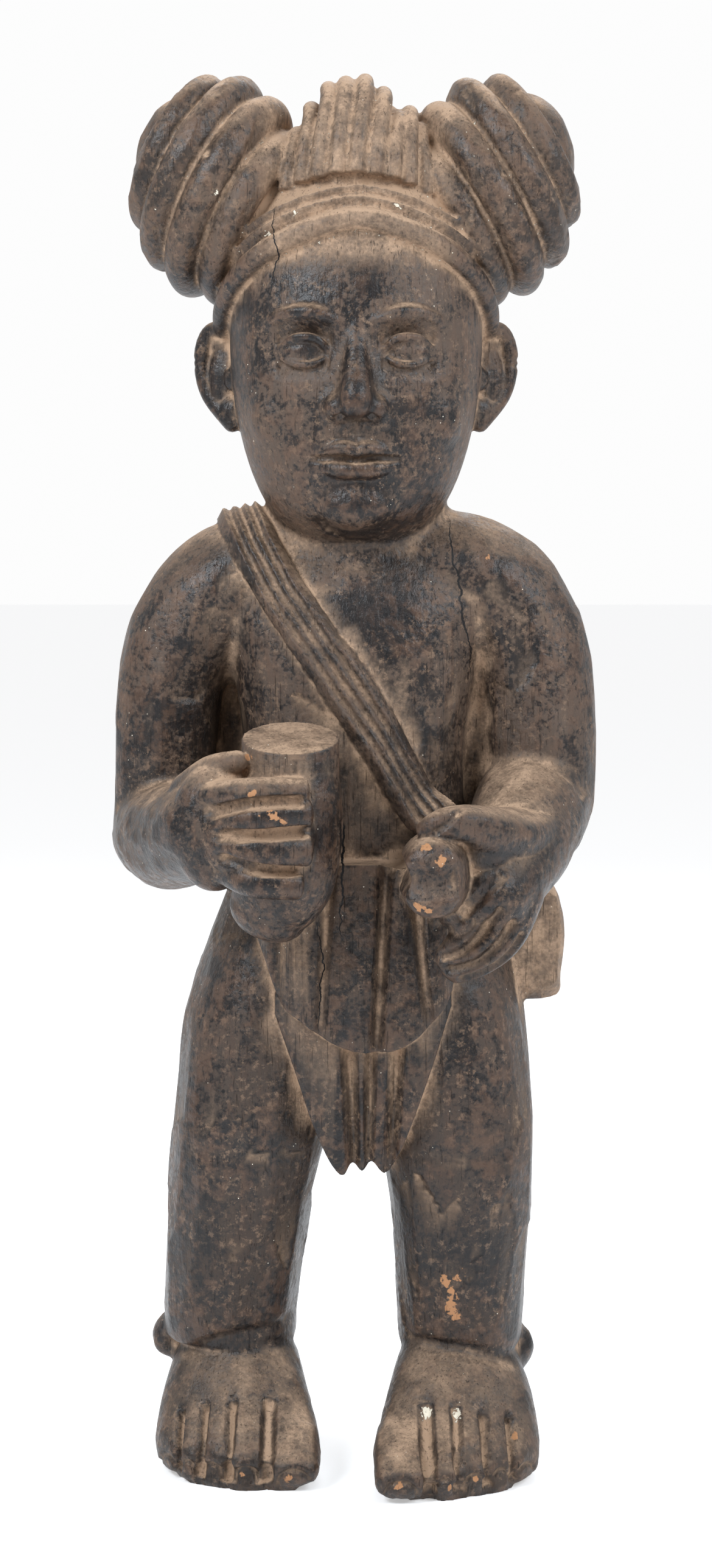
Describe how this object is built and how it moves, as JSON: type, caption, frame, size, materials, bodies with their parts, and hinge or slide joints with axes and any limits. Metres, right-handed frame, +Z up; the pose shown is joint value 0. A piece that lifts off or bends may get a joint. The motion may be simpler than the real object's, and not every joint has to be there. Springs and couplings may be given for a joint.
{
  "type": "carved wooden figure",
  "caption": "Standing carved wooden figure with a twisted headdress, shoulder strap, horn, hilt and pleated loincloth.",
  "frame": {"origin": "on the floor under the middle of the figure's box", "axes": "+Z up the figure, -Y the way the face and toes point, +X to the right of someone who faces it"},
  "size_m": [0.2427, 0.1979, 0.6995],
  "materials": {
    "dark_patinated_wood": "dark worn patina, satin on raised places and dusty in the cuts"
  },
  "bodies": {
    "root": {"standing_figure": "dark_patinated_wood"}
  },
  "joints": []
}
